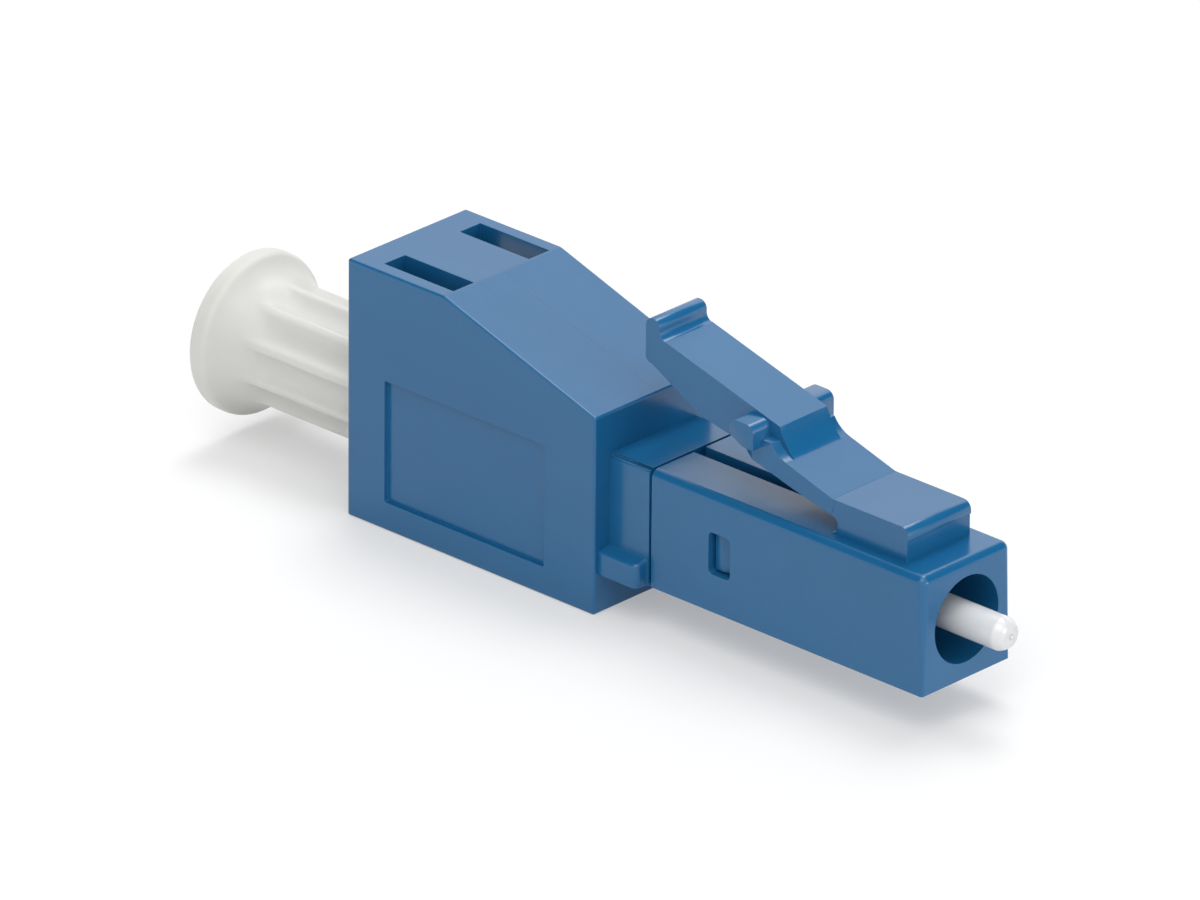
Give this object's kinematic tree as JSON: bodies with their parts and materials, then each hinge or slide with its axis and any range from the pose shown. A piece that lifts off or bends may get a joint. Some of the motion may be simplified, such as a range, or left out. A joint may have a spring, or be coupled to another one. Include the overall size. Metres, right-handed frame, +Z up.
{
  "type": "fibre attenuator",
  "caption": "Plug-in fixed fibre attenuator: square latched plug nose with ceramic ferrule in front, jack with ribbed dust plug behind",
  "frame": {"origin": "middle of the housing's flat underside, on which it rests", "axes": "+X forward along the fibre, towards the plug nose; +Y across; +Z up, towards the latch"},
  "size_m": [0.0368, 0.0062, 0.0111],
  "materials": {
    "blue_plastic": "satin moulded",
    "zirconia": "polished ceramic",
    "fibre_glass": "clear",
    "flange_metal": "nickel plated",
    "spring_steel": "drawn wire",
    "holder_plastic": "moulded",
    "milky_plastic": "milky, soft"
  },
  "bodies": {
    "housing_body": {"housing": "blue_plastic", "plug_frame": "blue_plastic", "ferrule_spring": "spring_steel", "spring_seat": "flange_metal", "split_sleeve": "zirconia", "sleeve_holder": "holder_plastic"},
    "latch": {"latch_lever": "blue_plastic"},
    "ferrule_set": {"ferrule": "zirconia", "attenuating_fibre": "fibre_glass", "ferrule_flange": "flange_metal"},
    "dust_plug": {"dust_plug": "milky_plastic"}
  },
  "joints": [
    {"name": "latch_press", "type": "hinge", "parent": "housing_body", "child": "latch", "pos_m": [0.01549, 0, 0.00704], "axis": [0, -1, 0], "range_deg": [0, 11.5], "stiffness_Nm_per_rad": 0.06},
    {"name": "ferrule_float", "type": "slide", "parent": "housing_body", "child": "ferrule_set", "axis": [-1, 0, 0], "range_m": [0, 0.0008], "stiffness_N_per_m": 1500, "springref_m": -0.003, "deforming": ["ferrule_spring"]},
    {"name": "dust_plug_pull", "type": "slide", "parent": "housing_body", "child": "dust_plug", "axis": [-1, 0, 0], "range_m": [0, 0.0096]}
  ]
}
